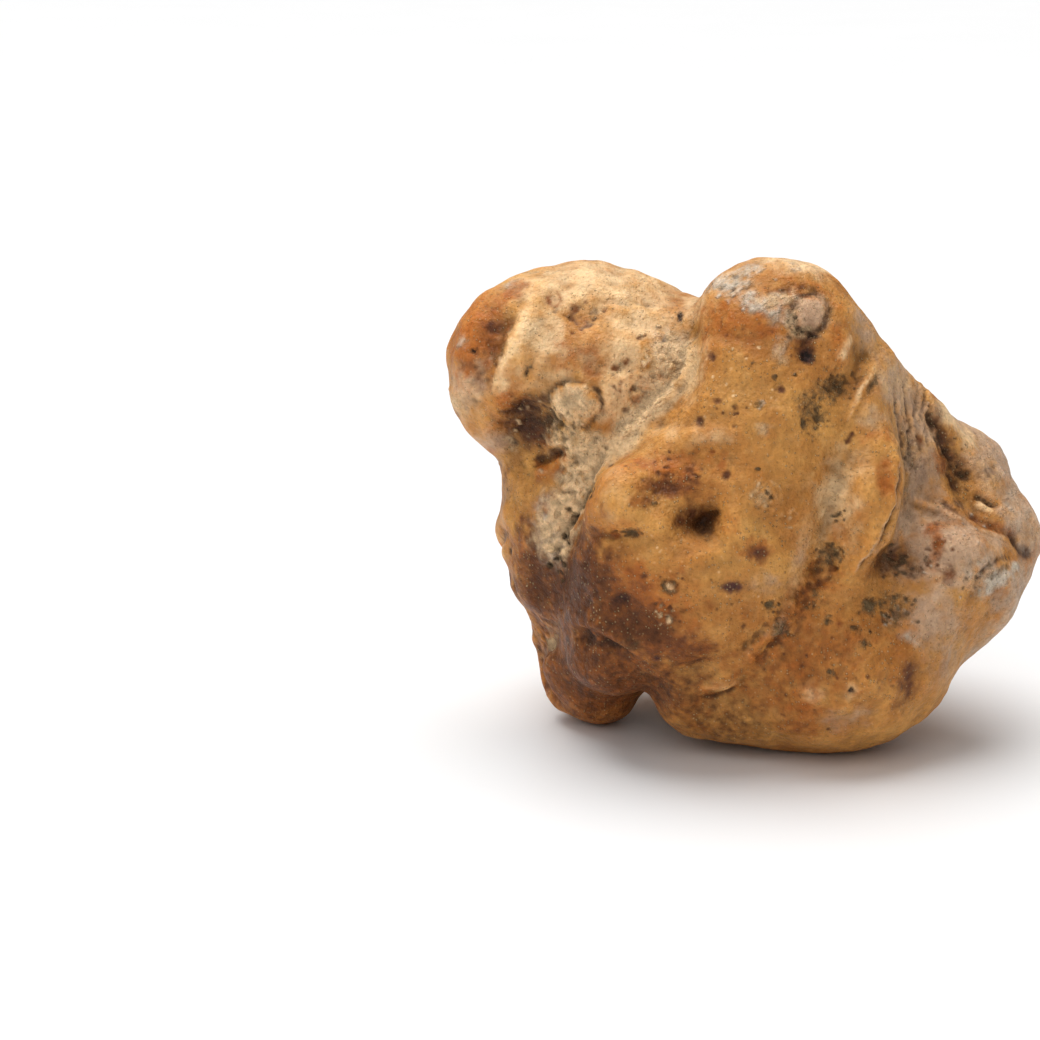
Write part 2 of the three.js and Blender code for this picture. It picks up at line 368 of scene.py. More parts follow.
def cheek(spot, line, crumbs):
    """Below the shoulder: the round crust in its dark hollow, and the lit ledge under it."""
    spot(-18.5, 40.8, 3.6, 2.2, rust=0.5)
    spot(-17, 39.5, 1.2, 2, rust=0.55, bruise=0.25)
    spot(-13.2, 40.5, 2.4, 3.2, cream=0.75)
    for across, up, size in (
        (-14.2, 39.6, 0.5), (-12.9, 40.3, 0.35), (-14.5, 37.4, 0.3), (-11.5, 42.7, 0.35), (-12.3, 37, 0.4),
    ):
        spot(across, up, size, 0.6 * size, turn=20, sink=0.3, rust=0.7, bruise=0.6)
    spot(-13, 34.7, 0.4, 0.35, sink=0.25, bruise=0.8)
    spot(-11.5, 36, 1.2, 0.5, turn=30, sink=0.2, rust=0.8)
    crumbs(-12.5, 37.5, 1.8, 2.2, 16, 0.22, sink=0.15, bruise=0.6)
    # the round crust, and the dark rough hollow about it
    spot(-24.4, 33.5, 2.8, 2.8, turn=-30, umber=0.8, bruise=0.5)
    spot(-25, 34.4, 1.3, 1.2, umber=0.95)
    spot(-22.8, 31.8, 2, 1.6, bruise=0.8, rust=0.6)
    spot(-21.5, 33.2, 1.8, 1.4, turn=-30, umber=0.7, moss=0.4)
    spot(-22.6, 35.9, 1.5, 0.7, turn=10, umber=0.8)
    spot(-26.8, 35.8, 0.8, 1.2, turn=-30, rust=0.8)
    crumbs(-24.2, 33.6, 2, 2, 30, 0.28, sink=0.2, umber=0.9, hole=0.35)
    crumbs(-24, 33, 2.5, 2.2, 16, 0.2, sink=-0.1, soil=0.7)
    spot(-18.8, 35.5, 2.7, 2.1, turn=-8, plate=0.45, soil=0.9)
    spot(-18.6, 35.9, 1.8, 1.3, sink=0.2, flesh=0.4, moss=0.25)
    crumbs(-18.8, 35.4, 2.2, 1.7, 30, 0.3, sink=-0.12, soil=0.9)
    crumbs(-18.6, 35.2, 2, 1.6, 22, 0.22, sink=0.14, umber=0.6)
    crumbs(-20.3, 33.8, 1.8, 1, 34, 0.28, sink=0.18, moss=0.55, umber=0.6)
    crumbs(-21, 34.6, 0.8, 1.6, 14, 0.24, sink=0.16, umber=0.7)
    crust_right = [(-17, 37.6), (-16.1, 36.7), (-15.8, 35.4), (-16.3, 34.2), (-17.5, 33.4)]
    crust_left = [(-21.8, 34.4), (-21.5, 36.2), (-20.4, 37.5), (-18.6, 38.1)]
    line(crust_right, 0.32, groove=0.4, spread=0.7, umber=0.85)
    line(crust_left, 0.35, groove=0.2, spread=0.7, umber=0.6)
    spot(-19.6, 31.6, 2.6, 1.6, turn=-10, plate=0.3, soil=0.75, moss=0.3)
    crumbs(-19.8, 31.8, 2.4, 1.6, 30, 0.28, sink=0.16, moss=0.5, umber=0.4)
    # the lit ledge below it
    line([(-23.4, 28), (-21.3, 29), (-18.8, 30.2)], 0.9, step=-0.4, rust=0.75)
    line([(-23.5, 28.9), (-21.3, 29.8), (-19.6, 30.6)], 0.5, groove=0.3, spread=1.2, umber=0.85)
    spot(-21.5, 27.8, 1.8, 1.1, turn=25, rust=0.7)


def crevice(spot, line, crumbs):
    """The earth-filled crevice down the left of the front mass, and the edge that hangs over it."""
    spot(-8.4, 41.2, 1.9, 2.4, turn=-35, sink=0.3, soil=1, cream=0.8)
    spot(-8.6, 42, 1.8, 1.8, ash=0.5)
    spot(-10.4, 38, 2, 1.2, turn=40, soil=0.65, rust=0.5, cream=0.8)
    spot(-13, 38.5, 2, 2.4, cream=0.6, rust=0.25)
    spot(-6, 39.5, 1.5, 3.5, turn=-12, cream=0.7)
    spot(-10.5, 34.6, 4.2, 1.1, turn=42, cream=0.9)
    line([(-7.4, 38.7), (-9.8, 36.2), (-12, 34), (-14.6, 31.6)], 0.75, soil=0.95, cream=1)
    spot(-14, 31.2, 3.4, 1.7, turn=35, cream=1)
    spot(-14, 36, 2.2, 3, turn=-40, cream=0.8, rust=0.3)
    spot(-5.5, 46.5, 1.6, 2.6, turn=-20, cream=0.6)
    spot(-13.5, 35.5, 2, 3, turn=-42, cream=0.7)
    crumbs(-8.8, 40.6, 1.8, 2.2, 44, 0.3, sink=-0.18, soil=1)
    crumbs(-9.8, 40, 2, 2.6, 16, 0.24, sink=0.14, umber=0.2)
    crumbs(-11.2, 37, 1.6, 1.6, 14, 0.26, sink=0.12, rust=0.5)
    line([(-15.7, 31.5), (-17.6, 28.3), (-19.3, 25.2), (-20.8, 21.5), (-21.8, 17)], 1.9, soil=1)
    spot(-21.6, 21.5, 1.6, 4, turn=12, ash=0.5)
    spot(-17, 30.2, 2.2, 1.5, turn=40, soil=1, cream=0.8)
    crumbs(-18.8, 26, 1.8, 3.6, 50, 0.35, sink=-0.18, soil=1)
    crumbs(-19.4, 24, 1.8, 4, 26, 0.26, sink=0.16, umber=0.45)
    spot(-20.9, 19.2, 1.4, 2.4, turn=10, umber=0.4)
    edge = [
        (-6.2, 43.5), (-6.3, 41.5), (-6.8, 39.5), (-7.9, 38),
        (-9.6, 36), (-11.6, 34.2), (-13.5, 32.4), (-15, 30.4),
    ]
    lower_edge = [(-15, 30.4), (-16, 28), (-16.9, 25.6), (-18.2, 23.3), (-19.5, 21), (-20.2, 19), (-20.6, 17)]
    line(edge, 0.8, step=0.2, spread=0.6, cream=0.8)
    line(lower_edge, 0.9, step=0.3)
    line([(across - 0.5, up - 0.25) for across, up in edge], 0.3, groove=0.08, spread=0.6, rust=0.4)
    line([(across - 0.5, up - 0.2) for across, up in lower_edge[1:]], 0.5, groove=0.25, spread=0.9, moss=0.6)
    for across, up, size in (
        (-16.9, 25.6, 0.6), (-18.7, 22.6, 0.7), (-19.5, 20.6, 0.5), (-20.3, 18.4, 0.6), (-20.7, 17, 0.5),
    ):
        crumbs(across, up, 0.8, 1, 8, 0.5 * size, sink=0.25, hole=0.6, moss=0.8)
    spot(-7, 45, 0.3, 0.55, sink=0.4, umber=0.9, hole=0.5)
    spot(-8.6, 42.7, 0.7, 0.3, turn=30, sink=0.25, umber=0.8)
    spot(-11.9, 37.2, 0.4, 0.35, sink=0.35, umber=0.8)


def crown(spot, line, crumbs):
    """The crown: bare grey skin at the top, rust below it, the scar, and mould down the right slope."""
    spot(6, 51.4, 5, 1.6, turn=-10, cream=0.7, flesh=0.3)
    spot(-4.5, 46.2, 2, 2.2, turn=-30, cream=0.6)
    spot(-1.8, 48.7, 2.6, 1.3, turn=-10, ash=0.75)
    spot(0.8, 47.2, 1.2, 1.6, turn=30, ash=0.65)
    spot(0.2, 50.2, 2.2, 0.9, turn=20, ash=0.65)
    spot(5.6, 50.8, 1, 0.6, ash=0.4, flesh=0.4)
    crumbs(-1.5, 48.8, 2, 1, 24, 0.26, sink=0.14, umber=0.5, moss=0.45)
    crumbs(0.3, 48, 2.4, 1.8, 22, 0.25, sink=-0.1, ash=0.9)
    spot(0, 45.2, 5.5, 2, turn=-8, rust=0.6)
    spot(-1, 43.8, 4.5, 1.8, rust=0.6)
    spot(-3.5, 43.5, 1.6, 3, rust=0.5)
    spot(2.8, 43.8, 1.6, 1, rust=0.8, bruise=0.2)
    crumbs(0.5, 44.3, 3, 1.4, 16, 0.22, sink=0.1, bruise=0.6)
    # the scar: a pink disc in a grey-brown ring, with an arc over it and a dark mouth below
    spot(6.6, 46.4, 4.5, 2.8, turn=10, rust=0.75)
    spot(3.6, 47, 2.4, 0.9, turn=18, soil=0.6, ash=0.5)
    spot(3.8, 45.4, 1.8, 1.2, turn=-25, ash=0.6, moss=0.3)
    spot(1.6, 46, 1.6, 0.6, turn=-15, ash=0.75)
    arc = [(2, 46.9), (3.4, 47.7), (5, 48.4), (6.8, 48.7), (8.6, 48.2), (9.8, 46.8), (9.9, 45)]
    line(arc, 0.5, groove=0.2, umber=0.6)
    spot(5.4, 45, 0.9, 1.6, soil=0.6, moss=0.35)
    spot(7.5, 45.8, 2.6, 2.7, sink=0.3)
    spot(7.6, 45.7, 2.2, 2, cream=0.5, flesh=1, rust=-1, bruise=-1)
    line(ring(7.5, 45.7, 2.1, 2.3), 0.5, groove=0.3, spread=1.2, umber=0.6, moss=0.25)
    spot(7.6, 45.7, 1.7, 1.9, sink=-0.25, rust=0.18)
    crumbs(5.6, 44, 1.1, 1.3, 22, 0.24, sink=0.14, moss=0.7)
    spot(6.8, 43.4, 1.5, 0.8, soil=0.45, moss=0.5)
    spot(7.1, 42.3, 1.3, 2.1, turn=-6, sink=0.4, bruise=0.8, umber=0.5)
    spot(7.2, 40.7, 0.65, 0.7, sink=0.5, hole=0.75, purple=0.9)
    spot(8, 43.1, 0.6, 0.4, sink=0.3, hole=0.6, umber=0.8)
    crumbs(7.2, 42, 0.8, 1.4, 14, 0.22, sink=0.2, hole=0.7)
    spot(4.3, 42, 0.9, 1.7, turn=-20, ash=0.35)
    spot(10.3, 42.8, 1.2, 2.4, turn=-15, rust=0.55)
    # the right slope of the crown
    line([(12.2, 43.2), (11, 41.8), (10, 40)], 0.5, groove=-0.15, cream=0.5)
    spot(13.8, 43.5, 1.6, 3, turn=25, flesh=0.65)
    slope_ridge = [(15.4, 41), (14.3, 38.9), (13.1, 36.9), (12, 34.6), (11.3, 32.6)]
    line(slope_ridge, 0.4, groove=-0.25, spread=0.8, cream=0.6, flesh=0.3)
    # painted shadow beside the pale ridge, in the mould and umber colours
    spot(14.4, 37.6, 0.55, 1.5, turn=-28, sink=0.25, moss=0.6, umber=0.3)
    spot(10, 37.5, 1.9, 1.2, turn=10, moss=0.55)
    crumbs(10.2, 37.6, 2.2, 1.6, 50, 0.24, sink=0.14, moss=0.4)
    spot(9.5, 36, 1.2, 0.8, moss=0.5)
    spot(7.6, 34.8, 1.5, 2.2, turn=10, moss=0.5)
    crumbs(7.6, 34.4, 1.6, 2.2, 50, 0.22, sink=0.12, moss=0.4)
    spot(8.4, 33.8, 0.4, 0.35, sink=0.2, moss=0.8, umber=0.4)
    spot(6.9, 33.3, 0.4, 0.5, sink=0.2, moss=0.8, umber=0.4)
    line([(11.3, 30.9), (12, 31.6), (12.4, 32.4)], 0.3, groove=0.15, bruise=0.7)
    spot(14.5, 32.2, 2.6, 1.2, rust=0.5)


def front_mass(spot, line, crumbs):
    """The smooth front mass, from the speckled neck under the crown down to the pit and the scabs."""
    spot(-4.5, 42, 1, 3, turn=-5, cream=0.4)
    spot(-3.4, 40.7, 0.45, 0.5, sink=0.15, purple=0.8)
    spot(4.3, 37.1, 0.4, 0.4, sink=0.1, bruise=0.9)
    spot(3.5, 38.5, 0.28, 0.25, sink=0.1, moss=0.9)
    spot(1.1, 40.1, 0.2, 0.2, sink=0.08, moss=0.9)
    spot(1.7, 35.4, 0.6, 0.45, sink=0.12, moss=0.6)
    crumbs(2, 35.7, 0.8, 0.7, 10, 0.2, sink=-0.08, ash=0.7)
    spot(-2.9, 35.8, 0.5, 0.4, sink=0.12, bruise=0.75)
    spot(-1.2, 34.4, 1.2, 0.8, turn=20, bruise=0.35)
    crumbs(-1.3, 34.6, 1.2, 0.9, 14, 0.2, sink=0.1, bruise=0.7)
    spot(-4.9, 33.5, 0.4, 0.7, turn=20, sink=0.15, bruise=0.8)
    spot(2.2, 32.6, 0.9, 0.7, bruise=0.3, soil=0.4)
    spot(4.5, 41.3, 1.5, 1.6, soil=0.35)
    crumbs(1.5, 38, 4, 4, 26, 0.16, sink=0.06, bruise=0.6)
    crumbs(-1, 38, 4, 4, 22, 0.16, sink=-0.06, cream=0.8)
    spot(2.6, 32, 1, 0.5, rust=0.5)
    spot(-3.5, 30.2, 0.33, 0.22, sink=0.15, rust=0.9, bruise=0.3)
    spot(-1.9, 27.6, 0.4, 0.5, sink=0.15, bruise=0.9)
    spot(1.6, 28.2, 0.25, 0.2, sink=0.1, moss=0.9)
    # the knob on the left and its brown cloud
    spot(-8.5, 32, 6, 1.6, turn=8, cream=0.3)
    spot(-3.3, 31.9, 2.4, 1, cream=0.4)
    spot(-13.9, 25.5, 1.6, 3, cream=0.3)
    spot(-8.5, 28.6, 5, 1.8, rust=0.7)
    spot(-8.3, 26.4, 3.6, 1.1, turn=4, bruise=0.75, rust=0.8)
    spot(-9.5, 26.2, 1.6, 0.8, bruise=0.6, purple=0.3)
    spot(-10.8, 24.8, 1.5, 1, turn=20, bruise=0.55, rust=0.6)
    crumbs(-8.5, 27.6, 3.6, 1.8, 40, 0.24, sink=0.14, bruise=0.75)
    spot(-9.8, 24.5, 0.4, 0.4, moss=0.6)
    spot(-6.2, 28.2, 0.6, 0.5, sink=0.15, bruise=0.7, rust=0.9)
    spot(-2.2, 29, 0.7, 1.6, rust=0.6)
    spot(-3, 27, 3, 2.5, rust=0.35)
    # the deep pit, with its crisp right edge, darkened inside with umber and hole as painted shade
    spot(-5.4, 23, 2.4, 1.9, turn=35, sink=0.4, bruise=0.75, umber=0.4)
    spot(-4.3, 22, 1.4, 1.4, sink=1.5, umber=0.7)
    spot(-3.4, 23, 0.9, 0.6, turn=30, sink=0.5, umber=0.75)
    spot(-4.1, 21.7, 0.65, 0.6, sink=0.3, hole=0.5)
    spot(-3.9, 20.5, 0.6, 0.4, moss=0.4)
    spot(-1.6, 21.6, 1.6, 1.8, rust=0.4)
    spot(-12.3, 21.2, 0.8, 0.5, turn=-15, sink=0.4, moss=0.8, umber=0.6)
    spot(-14.3, 20.8, 0.6, 0.4, sink=0.25, rust=0.9, bruise=0.5)
    crumbs(-12.8, 21, 1.6, 0.6, 12, 0.22, sink=0.15, moss=0.6)
    spot(-13, 21.6, 3, 0.9, turn=-8, rust=0.5)
    spot(-16.5, 20, 1.6, 2.6, rust=0.6)
    spot(1.7, 18.9, 1.3, 0.9, sink=0.1, bruise=0.65, purple=0.45)
    spot(1.5, 19.2, 2, 1.3, rust=0.65)
    spot(-1.4, 15.1, 1.1, 0.6, sink=0.12, purple=0.85)
    spot(-1.4, 15.1, 1.8, 1, bruise=0.35)
    # small scabs, each with a dark rim
    spot(-8.2, 15.1, 0.6, 0.5, turn=-30, sink=-0.2, soil=0.7)
    line(ring(-8.2, 15.1, 0.75, 0.6), 0.22, groove=0.15, moss=0.6)
    spot(-8.3, 11.5, 0.4, 0.4, sink=-0.15, soil=0.7)
    crumbs(-9, 12.3, 1, 0.8, 14, 0.2, sink=-0.1, soil=0.7)
    crumbs(-8.9, 13, 1.4, 0.8, 14, 0.24, sink=0.14, bruise=0.8)
    spot(-13.6, 13.6, 1.2, 0.85, turn=-20, sink=0.4, umber=0.9, purple=0.5, hole=0.35)
    spot(-11.6, 15.3, 1.4, 0.8, bruise=0.6)
    spot(-10.8, 16.4, 0.5, 0.3, turn=20, sink=0.15, bruise=0.8)
    spot(2.9, 13.1, 0.6, 0.5, sink=0.25, moss=0.95)
    crumbs(2.9, 13.1, 0.8, 0.7, 8, 0.2, sink=0.1, moss=0.8)
    spot(4.3, 10.4, 0.8, 1.2, turn=-20, sink=0.15, moss=0.65, ash=0.3)
    crumbs(4.3, 10.4, 0.7, 1.1, 12, 0.22, sink=0.12, moss=0.7)
    spot(0, 10.8, 0.3, 0.4, sink=0.1, bruise=0.8)
    spot(2.4, 25.2, 1.6, 1.5, soil=0.4, moss=0.25)
    crumbs(2.4, 25.2, 1.6, 1.6, 26, 0.24, sink=-0.14, soil=0.5)
    crumbs(2.4, 25.2, 1.6, 1.6, 18, 0.2, sink=0.12, moss=0.6)
    crumbs(5.3, 22.4, 1, 0.9, 14, 0.24, sink=-0.12, soil=0.5)
    spot(6.3, 19, 1.4, 5.5, turn=-13, flesh=0.3, cream=0.3)
    spot(2.5, 15.6, 2.2, 1.2, flesh=0.4)
    crumbs(-7, 17, 8, 4, 50, 0.16, sink=-0.07, cream=0.5)
    crumbs(-8, 14, 9, 5, 50, 0.18, sink=0.08, bruise=0.5)


def lower_left(spot, line, crumbs):
    """The lower left, partly its own darker brown and partly painted shade, the ledge over the foot, and the
    foot.
    """
    # umber and bruise here are partly the skin's own brown and partly painted shade for the shade this low
    # side lies in
    spot(-18.5, 15, 5, 7, umber=0.65, bruise=0.75, rust=0.9)
    spot(-22.5, 17, 3, 7, umber=0.6, bruise=0.7, rust=0.8)
    spot(-13, 11, 6, 3, turn=-10, umber=0.55, bruise=0.7)
    spot(-8.5, 9, 5, 2.4, turn=-12, bruise=0.75, rust=0.8)
    spot(-12, 13, 7, 4.5, turn=-20, rust=0.9)
    spot(-4.5, 8, 1.8, 2.5, bruise=0.4, rust=0.5)
    spot(-9.6, 7.3, 0.45, 0.35, sink=0.1, purple=0.8)
    spot(-18, 17.3, 2.4, 1.4, bruise=0.5)
    spot(-12.3, 8.9, 1.2, 0.7, umber=0.8, moss=0.3)
    crumbs(-17.5, 13.5, 2.6, 3.4, 40, 0.26, sink=0.16, umber=0.6)
    crumbs(-11, 11, 4, 2.4, 26, 0.24, sink=0.12, umber=0.5)
    for across, wave in ((-22.3, 0.2), (-21.2, 0.1), (-20.3, -0.1)):
        rib = [(across, 15.5), (across + wave, 13), (across, 10.5), (across + wave, 8)]
        line(rib, 0.4, groove=-0.12, flesh=0.4)
    # the ledge over the foot, lit along its edge, and painted shade in the fold under it
    line([(-19, 10.4), (-17, 10.3), (-15.2, 9.7), (-13.2, 8.7), (-11.2, 7.4)], 0.9, step=0.35)
    line([(-19, 9.4), (-17, 9.2), (-15.2, 8.7), (-13.5, 7.7), (-12, 6.9)], 0.9, groove=0.3, umber=0.9)
    line([(-13.3, 7.2), (-14, 5.6), (-13.6, 4.4), (-12.2, 3.2)], 0.8, groove=0.3, umber=0.6)
    # the foot, its umber partly painted shade
    spot(-17.5, 5, 9, 8, umber=0.62, rust=0.9, bruise=0.5)
    spot(-15, 7.5, 2.5, 1.6, umber=0.6)
    spot(-14.8, 2.6, 4, 2, rust=0.9)
    # under the front mass, with painted shade in umber, and the small tongue that lies on it, with painted
    # shade along its underside
    spot(-8.5, 4, 7.5, 4.5, turn=-20, umber=0.58, rust=0.6)
    spot(-3, 0.5, 9, 3, turn=-10, umber=0.5, rust=0.3)
    spot(-3, 4.2, 2, 0.75, turn=12, sink=-0.6, cream=0.35, umber=-0.7)
    under_tongue = [(-0.9, 4.5), (-1.2, 3.9), (-2.3, 3.2), (-3.7, 2.8), (-5, 3.1)]
    line(under_tongue, 0.45, groove=0.25, spread=0.8, umber=0.75)


def belly(spot, line, crumbs):
    """The valley down to the left of the belly, painted shade over the low belly, and the belly's specks,
    scabs and small hole.
    """
    valley = [
        (10.6, 20.5), (9.8, 18.5), (8.8, 16.5), (7.4, 14.4), (6, 12.5),
        (4.9, 10.7), (3.7, 9), (2.2, 7.4), (0.8, 6.2),
    ]
    line(valley, 1.6, groove=0.75, umber=0.45, rust=0.6)
    line([(5.6, 12.8), (4, 11), (2.4, 9.5), (0.8, 8.1), (-0.8, 7.2)], 0.9, step=0.3, spread=0.5, flesh=0.4)
    spot(9, 13, 6, 4, rust=0.35)
    # painted shade: the low belly is tinted darker than the parts above it
    spot(6, 6, 13, 7, turn=10, rust=0.45, umber=0.3)
    spot(9.8, 18.8, 1.2, 1, turn=30, moss=0.6)
    crumbs(9.6, 18.6, 1.2, 1.1, 24, 0.26, sink=0.14, moss=0.7)
    spot(8, 14.4, 0.8, 0.7, moss=0.4)
    crumbs(7.6, 13.6, 1.4, 1.6, 14, 0.22, sink=0.1, moss=0.6)
    spot(14.1, 12.9, 1, 0.75, sink=0.2, moss=0.85)
    spot(14.2, 12.8, 0.35, 0.25, sink=-0.15, ash=0.9)
    spot(16.6, 13.4, 2, 1.2, moss=0.45)
    spot(17.2, 11.8, 1.6, 1, moss=0.45, ash=0.25)
    crumbs(16.4, 12.8, 2.2, 1.4, 40, 0.26, sink=0.12, moss=0.6)
    crumbs(17, 12, 2, 1.4, 16, 0.2, sink=-0.1, ash=0.7)
    spot(19, 9.4, 1.4, 0.8, turn=-30, ash=0.4)
    for across, up, size in ((12.6, 10.4, 0.5), (9.2, 11.5, 0.6), (13.5, 8.6, 0.5), (9.7, 5.7, 0.4)):
        spot(across, up, 1.4 * size, size, moss=0.35)
        crumbs(across, up, size, size, 8, 0.22, sink=0.1, moss=0.8)
    spot(10.6, 11, 0.5, 0.4, rust=0.8, bruise=0.5)
    spot(12, 3.7, 0.9, 0.9, cream=0.45)
    spot(12, 3.7, 0.22, 0.28, turn=15, sink=0.6, hole=1)
    spot(7.8, 3.4, 1.3, 1.4, cream=0.4, flesh=0.3)
    spot(6.8, 1.8, 2.4, 1.4, rust=0.75)
    spot(6.2, -0.6, 2.6, 1, bruise=0.4, rust=0.6)
    spot(11.5, 0.5, 3, 1.4, flesh=0.5)
    crumbs(8, 4, 6, 4, 36, 0.2, sink=0.08, bruise=0.75)
    spot(18.6, 4.6, 1.2, 2.3, turn=-8, bruise=0.75, purple=0.25)
    spot(17.2, 1.8, 1.2, 0.9, bruise=0.45)
    spot(1.5, 7, 1.5, 1.2, turn=40, umber=0.4, rust=0.7)


def fold_and_column(spot, line, crumbs):
    """The long lip on the right of the front mass, the wrinkled column and the dark crevice."""
    lip = [
        (16.8, 32), (17.2, 30), (17.2, 27), (16.8, 24.5), (15.9, 22.2), (14.6, 19.8), (13, 17.6), (11, 15.3),
    ]
    line(lip, 0.9, step=-0.4)
    line(lip, 0.35, groove=-0.12, spread=0.8, flesh=0.7, cream=0.4)
    line([(across + 0.5, up - 0.2) for across, up in lip[1:6]], 0.4, groove=0.15, spread=0.7, umber=0.55)
    spot(15.8, 27, 1, 2, rust=0.8)
    spot(13, 22.5, 1.6, 4.5, turn=-12, rust=0.25)
    spot(10.5, 25, 3, 5.5, turn=-8, cream=0.5)
    spot(13.2, 28.5, 1.5, 2.5, cream=0.3)
    spot(10.5, 21, 0.9, 1.5, rust=0.4)
    crumbs(10.5, 22.5, 0.8, 1.2, 10, 0.2, sink=0.1, moss=0.7)
    # the column behind the fold, wrinkled from top to bottom
    spot(17.3, 37.3, 2.8, 3, cream=0.6, flesh=0.6)
    spot(20, 34, 2, 4, turn=15, flesh=0.8, cream=0.3)
    spot(18, 32, 2, 5, flesh=0.5)
    spot(14.5, 33.8, 2, 1.4, cream=0.4, flesh=0.4)
    spot(18.3, 29.5, 1.1, 4, moss=0.4)
    spot(19.8, 28.5, 2.8, 4.5, turn=10, flesh=0.85, bruise=0.2)
    spot(20, 28, 2, 3, umber=0.35)
    wrinkles = (
        [(17.2, 38.6), (17.1, 36), (17.5, 33), (17.7, 30), (17.6, 27.5)],
        [(18.3, 39), (18.2, 37), (18.6, 34), (18.6, 31), (18.3, 28)],
        [(19.2, 38.7), (19.5, 36.5), (19.3, 34), (19.6, 31.5), (19.8, 29)],
        [(19.8, 38), (20.3, 36), (20.2, 34), (20.7, 32), (20.6, 30)],
        [(20.4, 36.8), (21, 35), (21.4, 32.5), (22.2, 30), (23.1, 28), (24, 26)],
    )
    for wrinkle in wrinkles:
        line(wrinkle, 0.35, groove=0.2, spread=0.9, umber=0.45)
        ridge = [(across + 0.45, up) for across, up in wrinkle[:-1]]
        line(ridge, 0.3, groove=-0.16, spread=0.9, flesh=0.8, cream=0.3)
    crumbs(18.6, 31, 1.8, 5, 90, 0.18, sink=0.12, bruise=0.5, umber=0.25)
    spot(19.8, 31.5, 0.5, 0.8, bruise=0.7)
    spot(22.2, 29, 0.9, 1.6, turn=25, rust=0.7, bruise=0.4)
    spot(23.6, 26.8, 0.9, 1.5, turn=25, sink=0.3, umber=0.8)
    # the dark crevice between the column and the right shoulder
    dark_crevice = [(20.9, 35.6), (21.4, 33.6), (22.5, 31.4), (23.7, 29.4), (24.7, 27.6), (25.3, 25.8)]
    line(dark_crevice, 1, groove=0.8, spread=1.1, umber=0.75, moss=0.3)
    spot(22.9, 31, 1.1, 4.2, turn=24, sink=0.5, bruise=0.6, umber=0.5)
    crumbs(24, 28.3, 0.9, 1.6, 18, 0.24, sink=0.2, umber=0.6)


